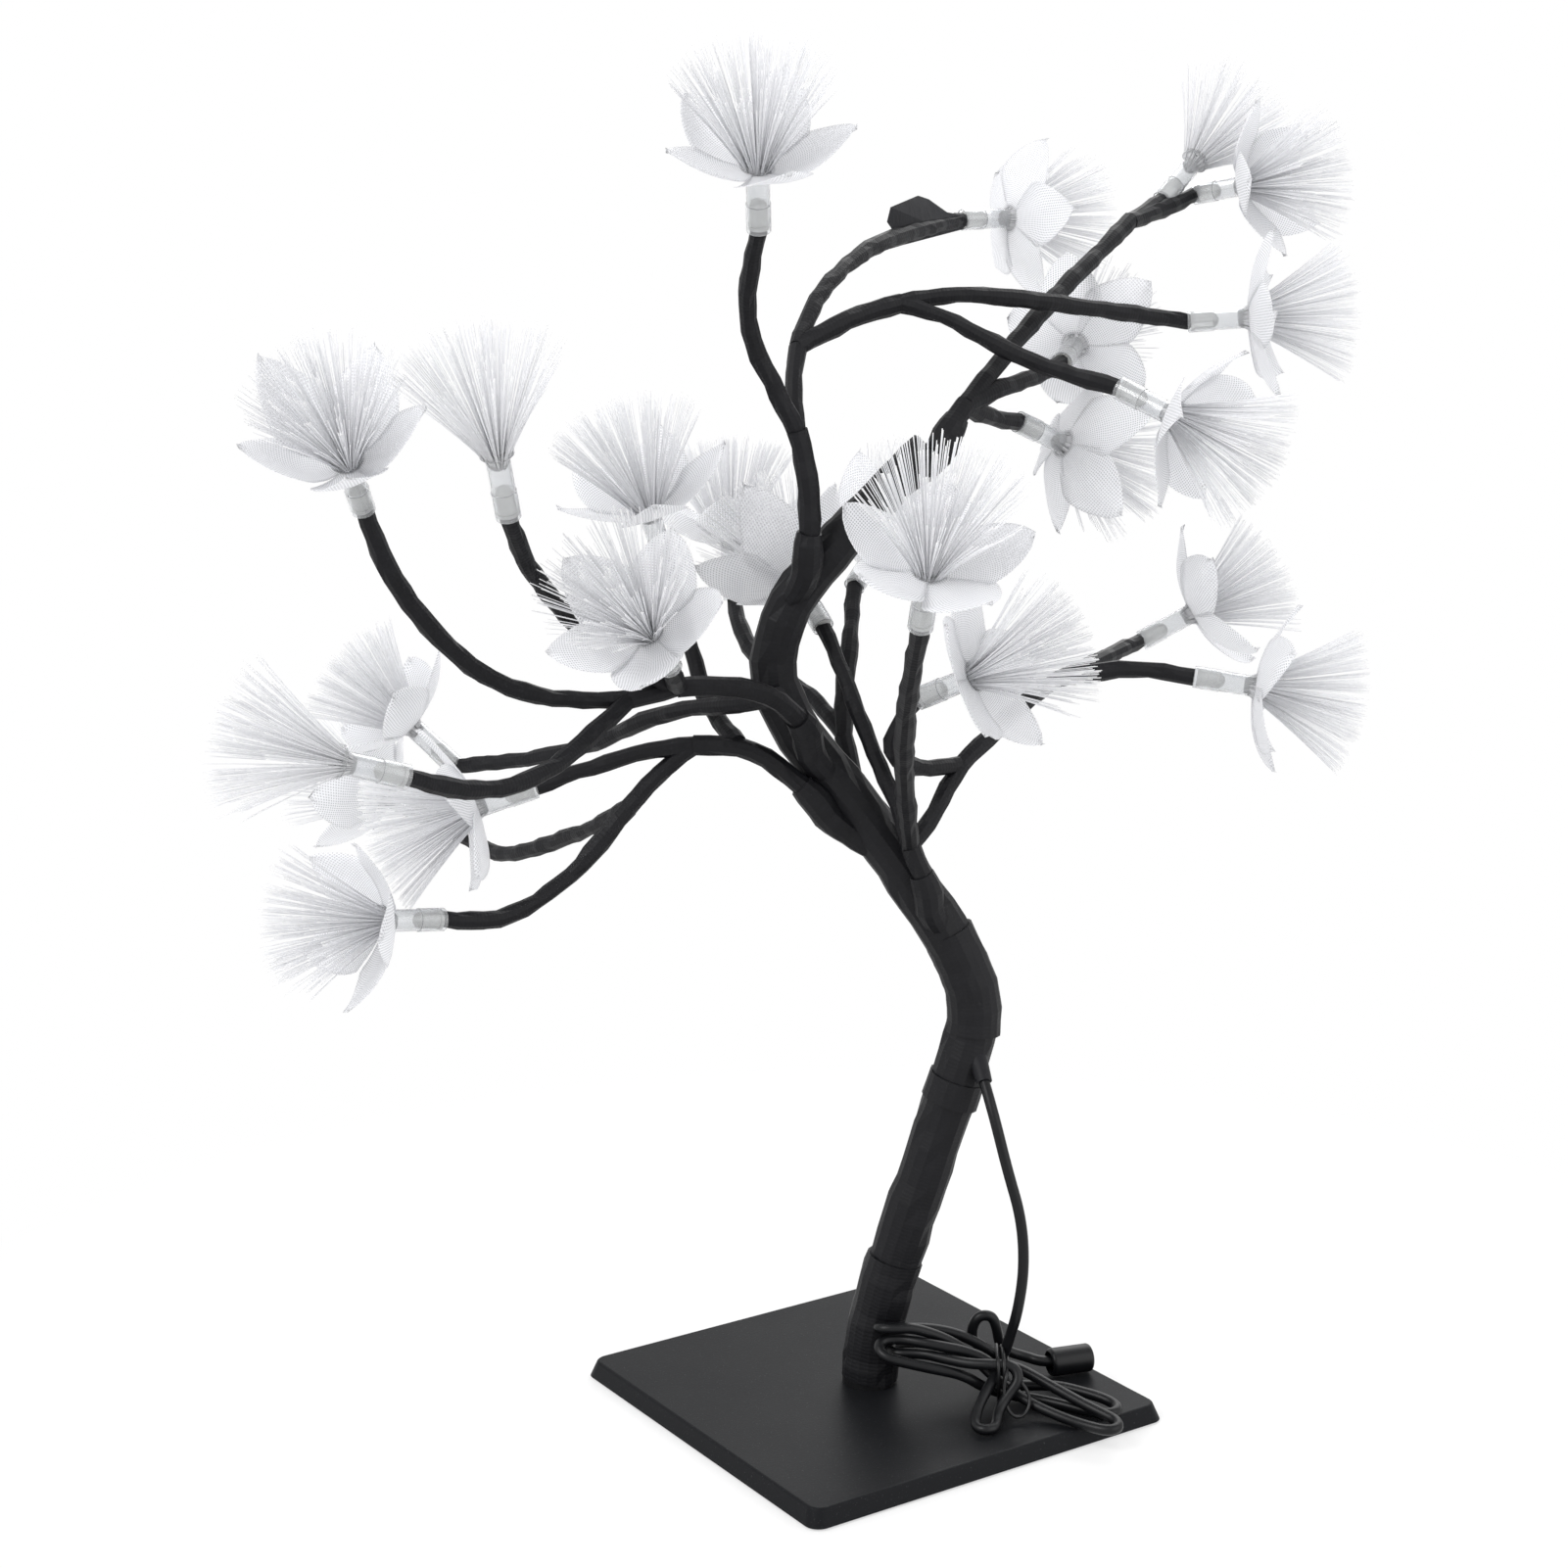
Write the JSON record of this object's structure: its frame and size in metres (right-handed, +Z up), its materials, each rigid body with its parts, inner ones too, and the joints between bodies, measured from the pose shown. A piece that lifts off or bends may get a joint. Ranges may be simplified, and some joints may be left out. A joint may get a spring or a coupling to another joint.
{
  "type": "fiber optic lamp",
  "caption": "Table lamp shaped as a small blossoming tree: a taped bendable trunk and limbs on a square steel foot, with fibre tufts in pointed fabric petals at the tips.",
  "frame": {"origin": "centre of the foot's underside, on the surface that the lamp stands on", "axes": "+Z up; X and Y along the sides of the square foot. The tree's face looks 35.4 degrees clockwise from -Y, seen from above, towards -X -Y"},
  "size_m": [0.4169, 0.3411, 0.4176],
  "materials": {
    "black_steel": "satin",
    "bare_steel": "satin",
    "plated_steel": "satin",
    "foam": "matte",
    "black_plastic": "satin",
    "crepe_tape": "matte",
    "wire_core": "satin",
    "clear_plastic": "gloss",
    "lamp_resin": "gloss",
    "fibre": "gloss",
    "petal_fabric": "matte",
    "cord_jacket": "satin",
    "contact_metal": "polished"
  },
  "bodies": {
    "stand": {"foot_cover": "black_steel", "ballast_plate": "bare_steel", "foot_screw": "plated_steel", "foot_pad": "foam", "trunk_tube": "bare_steel", "thread_plug": "bare_steel", "foot_ring": "black_plastic", "trunk_tape": "crepe_tape", "trunk_wires": "cord_jacket", "lead_collar": "black_plastic", "cord_drop": "cord_jacket", "cord_hank": "cord_jacket", "cord_tail": "cord_jacket", "twist_tie": "black_plastic", "power_socket": "black_plastic", "power_contacts": "contact_metal"},
    "limb_a": {"limb_a_tape": "crepe_tape", "limb_a_wires": "wire_core", "limb_a_sleeves": "clear_plastic", "limb_a_leds": "lamp_resin", "limb_a_ferrules": "clear_plastic", "limb_a_fibres": "fibre", "limb_a_petals": "petal_fabric"},
    "limb_b": {"limb_b_tape": "crepe_tape", "limb_b_wires": "wire_core", "limb_b_sleeves": "clear_plastic", "limb_b_leds": "lamp_resin", "limb_b_ferrules": "clear_plastic", "limb_b_fibres": "fibre", "limb_b_petals": "petal_fabric"},
    "limb_c": {"limb_c_tape": "crepe_tape", "limb_c_wires": "wire_core", "limb_c_sleeves": "clear_plastic", "limb_c_leds": "lamp_resin", "limb_c_ferrules": "clear_plastic", "limb_c_fibres": "fibre", "limb_c_petals": "petal_fabric"},
    "limb_d": {"limb_d_tape": "crepe_tape", "limb_d_wires": "wire_core", "limb_d_sleeves": "clear_plastic", "limb_d_leds": "lamp_resin", "limb_d_ferrules": "clear_plastic", "limb_d_fibres": "fibre", "limb_d_petals": "petal_fabric"},
    "limb_e": {"limb_e_tape": "crepe_tape", "limb_e_wires": "wire_core", "limb_e_sleeves": "clear_plastic", "limb_e_leds": "lamp_resin", "limb_e_ferrules": "clear_plastic", "limb_e_fibres": "fibre", "limb_e_petals": "petal_fabric"},
    "limb_f": {"limb_f_tape": "crepe_tape", "limb_f_wires": "wire_core", "limb_f_sleeves": "clear_plastic", "limb_f_leds": "lamp_resin", "limb_f_ferrules": "clear_plastic", "limb_f_fibres": "fibre", "limb_f_petals": "petal_fabric"}
  },
  "joints": [
    {"name": "limb_a_bend", "type": "hinge", "parent": "stand", "child": "limb_a", "pos_m": [-0.01989, 0.00309, 0.267], "axis": [-0.5793, -0.8151, 0], "range_deg": [-8, 8]},
    {"name": "limb_b_bend", "type": "hinge", "parent": "stand", "child": "limb_b", "pos_m": [0.01991, -0.01169, 0.3], "axis": [-0.5793, -0.8151, 0], "range_deg": [-8, 8]},
    {"name": "limb_c_bend", "type": "hinge", "parent": "stand", "child": "limb_c", "pos_m": [-0.02128, 0.00285, 0.214], "axis": [-0.5793, -0.8151, 0], "range_deg": [-8, 8]},
    {"name": "limb_d_bend", "type": "hinge", "parent": "stand", "child": "limb_d", "pos_m": [-0.01733, 0.00496, 0.193], "axis": [-0.5793, -0.8151, 0], "range_deg": [-8, 8]},
    {"name": "limb_e_bend", "type": "hinge", "parent": "stand", "child": "limb_e", "pos_m": [0.00864, -0.01718, 0.166], "axis": [-0.5793, -0.8151, 0], "range_deg": [-8, 8]},
    {"name": "limb_f_bend", "type": "hinge", "parent": "stand", "child": "limb_f", "pos_m": [0.00253, 0.01047, 0.191], "axis": [-0.5793, -0.8151, 0], "range_deg": [-8, 8]}
  ]
}
